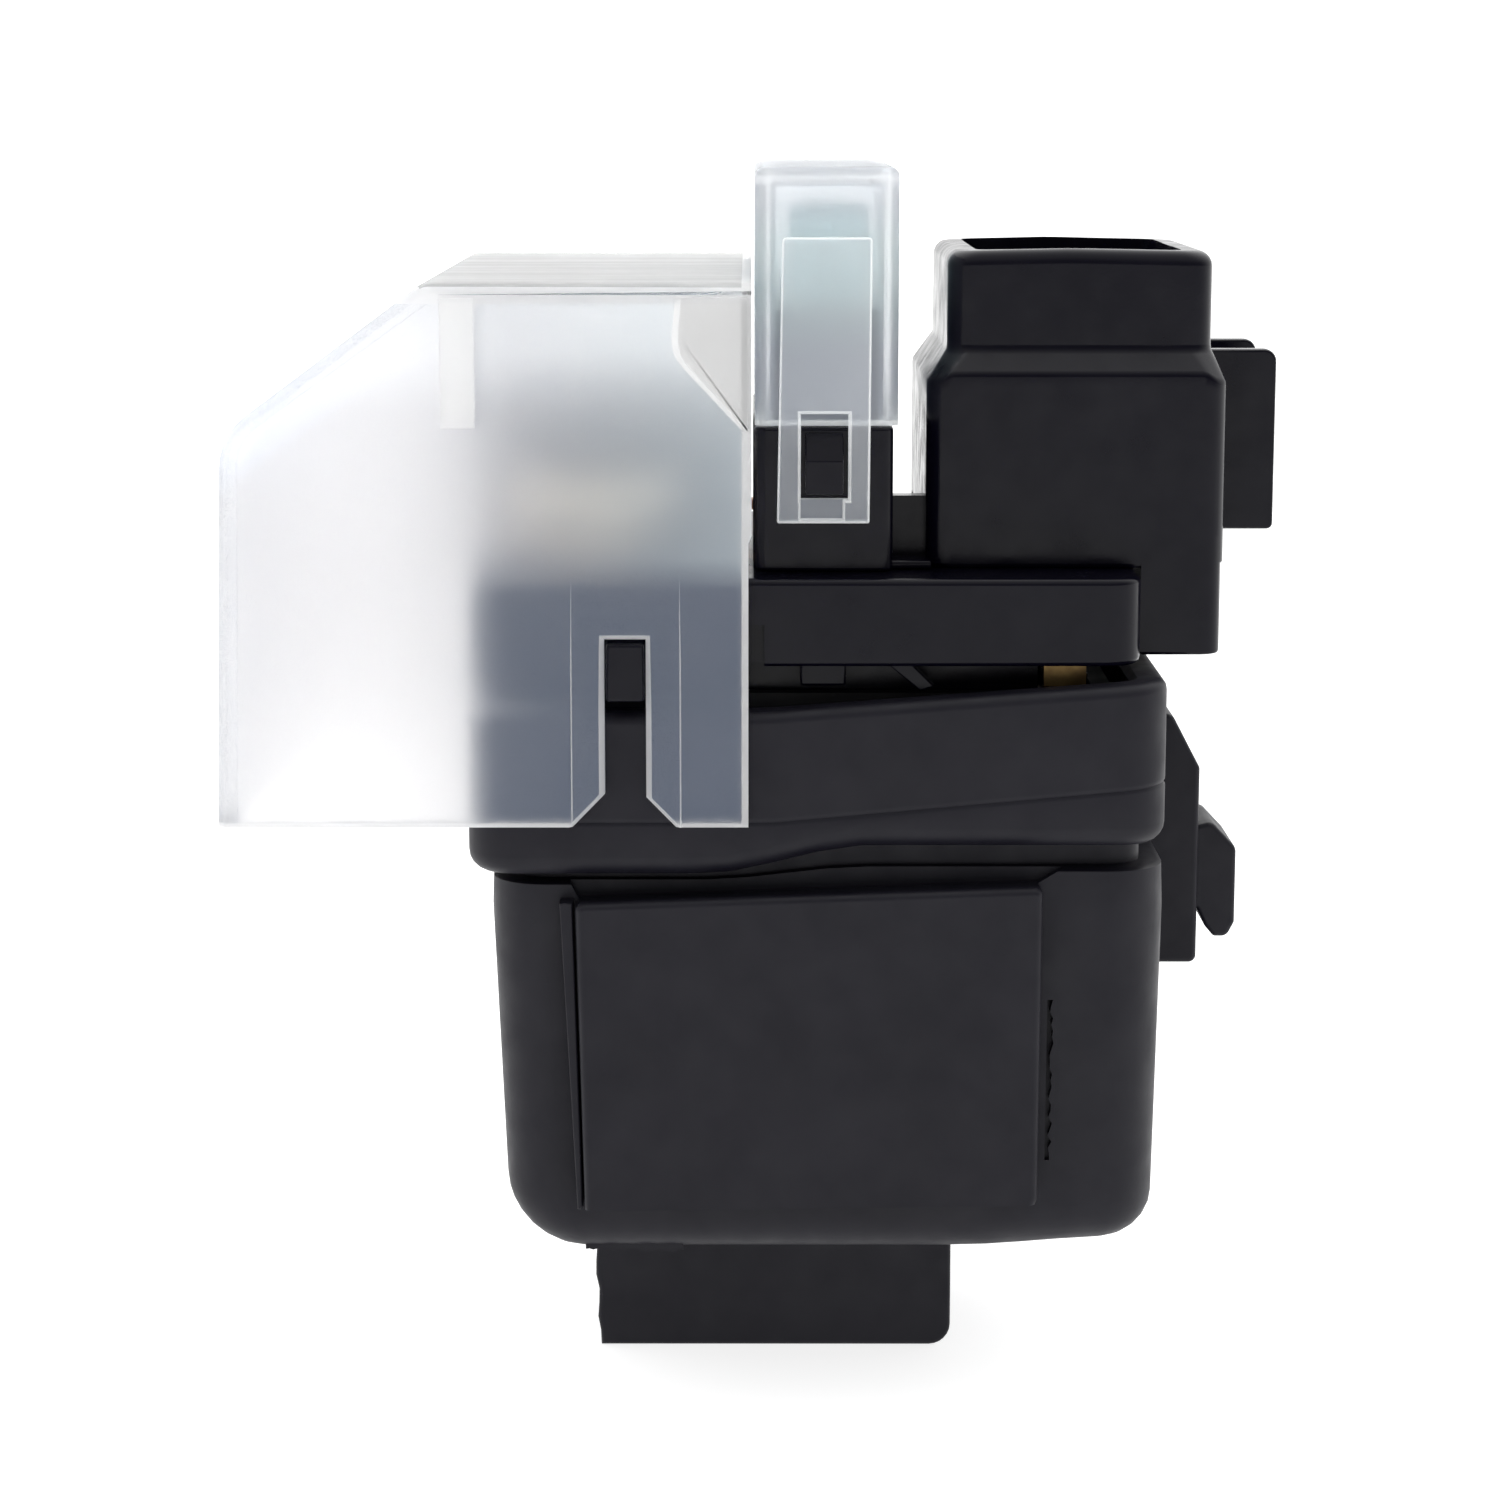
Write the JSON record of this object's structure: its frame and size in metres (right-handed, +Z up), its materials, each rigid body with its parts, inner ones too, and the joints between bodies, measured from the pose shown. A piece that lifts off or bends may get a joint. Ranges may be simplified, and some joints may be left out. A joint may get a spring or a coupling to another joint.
{
  "type": "starter relay",
  "caption": "Starter relay in a rubber mount, with a frosted slide-off hood over its cable terminals, a blade fuse under a clear latched cap and a plug socket.",
  "frame": {"origin": "middle of the whole object's footprint, at the bottom face of the rubber mount's foot", "axes": "+X towards the plug socket, -X towards the cable hood, +Y to the back, +Z up along the plunger's axis"},
  "size_m": [0.068, 0.044, 0.0802],
  "materials": {
    "boot_rubber": "satin moulded rubber",
    "seal_rubber": "matt rubber",
    "base_plastic": "satin black moulded plastic",
    "frosted_plastic": "frosted translucent plastic",
    "clear_plastic": "clear plastic with a faint cyan tint",
    "fuse_plastic": "clear green plastic",
    "brass": "bright stamped brass",
    "copper": "bare copper sheet and enamelled wire",
    "zinc_steel": "zinc plated steel",
    "soft_iron": "nickel plated soft iron",
    "tinned_metal": "tin plated blades",
    "bobbin_plastic": "natural nylon"
  },
  "bodies": {
    "mount": {"rubber_boot": "boot_rubber"},
    "relay": {"coil_case": "base_plastic", "case_seal": "seal_rubber", "contact_base": "base_plastic", "connector_fuse_block": "base_plastic", "connector_pin_fused": "tinned_metal", "connector_pin_supply": "tinned_metal", "connector_pin_coil_front": "tinned_metal", "connector_pin_coil_rear": "tinned_metal", "fuse_feed_bar": "copper", "fuse_output_bar": "copper", "fuse_clip_front": "brass", "fuse_clip_rear": "brass", "terminal_bar_battery": "copper", "terminal_bar_motor": "copper", "terminal_nut_battery": "zinc_steel", "terminal_nut_motor": "zinc_steel", "flat_washer_battery": "zinc_steel", "flat_washer_motor": "zinc_steel", "spring_washer_battery": "zinc_steel", "spring_washer_motor": "zinc_steel", "coil_terminal_front": "brass", "coil_terminal_rear": "brass", "coil_lead_front": "copper", "coil_lead_rear": "copper", "yoke_frame": "soft_iron", "yoke_top_plate": "soft_iron", "bobbin": "bobbin_plastic", "coil_winding": "copper", "fixed_core": "soft_iron", "return_spring": "zinc_steel"},
    "cover": {"terminal_cover": "frosted_plastic"},
    "fuse": {"fuse_body": "fuse_plastic", "fuse_blades": "tinned_metal"},
    "cap": {"fuse_cap": "clear_plastic", "fuse_cap_latch_front": "clear_plastic", "fuse_cap_latch_rear": "clear_plastic"},
    "armature": {"plunger": "soft_iron", "plunger_rod": "zinc_steel", "retaining_clip": "zinc_steel"},
    "bridge": {"contact_bridge": "copper", "contact_spring": "zinc_steel"},
    "screw_battery": {"terminal_screw_battery": "zinc_steel"},
    "screw_motor": {"terminal_screw_motor": "zinc_steel"}
  },
  "joints": [
    {"name": "relay_lift", "type": "slide", "parent": "mount", "child": "relay", "axis": [0, 0, 1], "range_m": [0, 0.036]},
    {"name": "cover_lift", "type": "slide", "parent": "relay", "child": "cover", "axis": [0, 0, 1], "range_m": [0, 0.036]},
    {"name": "fuse_lift", "type": "slide", "parent": "relay", "child": "fuse", "axis": [0, 0, 1], "range_m": [0, 0.016], "deforming": ["fuse_cap_latch_front", "fuse_cap_latch_rear"]},
    {"name": "cap_lift", "type": "slide", "parent": "fuse", "child": "cap", "axis": [0, 0, 1], "range_m": [0, 0.022], "deforming": ["fuse_cap_latch_front", "fuse_cap_latch_rear"]},
    {"name": "plunger_travel", "type": "slide", "parent": "relay", "child": "armature", "axis": [0, 0, 1], "range_m": [0, 0.0027], "stiffness_N_per_m": 400, "springref_m": -0.004, "deforming": ["return_spring", "contact_spring"]},
    {"name": "bridge_travel", "type": "slide", "parent": "relay", "child": "bridge", "axis": [0, 0, 1], "range_m": [0, 0.0019], "deforming": ["return_spring", "contact_spring"]},
    {"name": "screw_battery_turn", "type": "hinge", "parent": "relay", "child": "screw_battery", "pos_m": [-0.0106, 0.0104, 0.06], "axis": [0, 0, 1], "continuous": true},
    {"name": "screw_motor_turn", "type": "hinge", "parent": "relay", "child": "screw_motor", "pos_m": [-0.0106, -0.0104, 0.06], "axis": [0, 0, 1], "continuous": true}
  ],
  "couplings": [
    {"joint": "bridge_travel", "follows": "plunger_travel", "ratio": 0.7037}
  ]
}
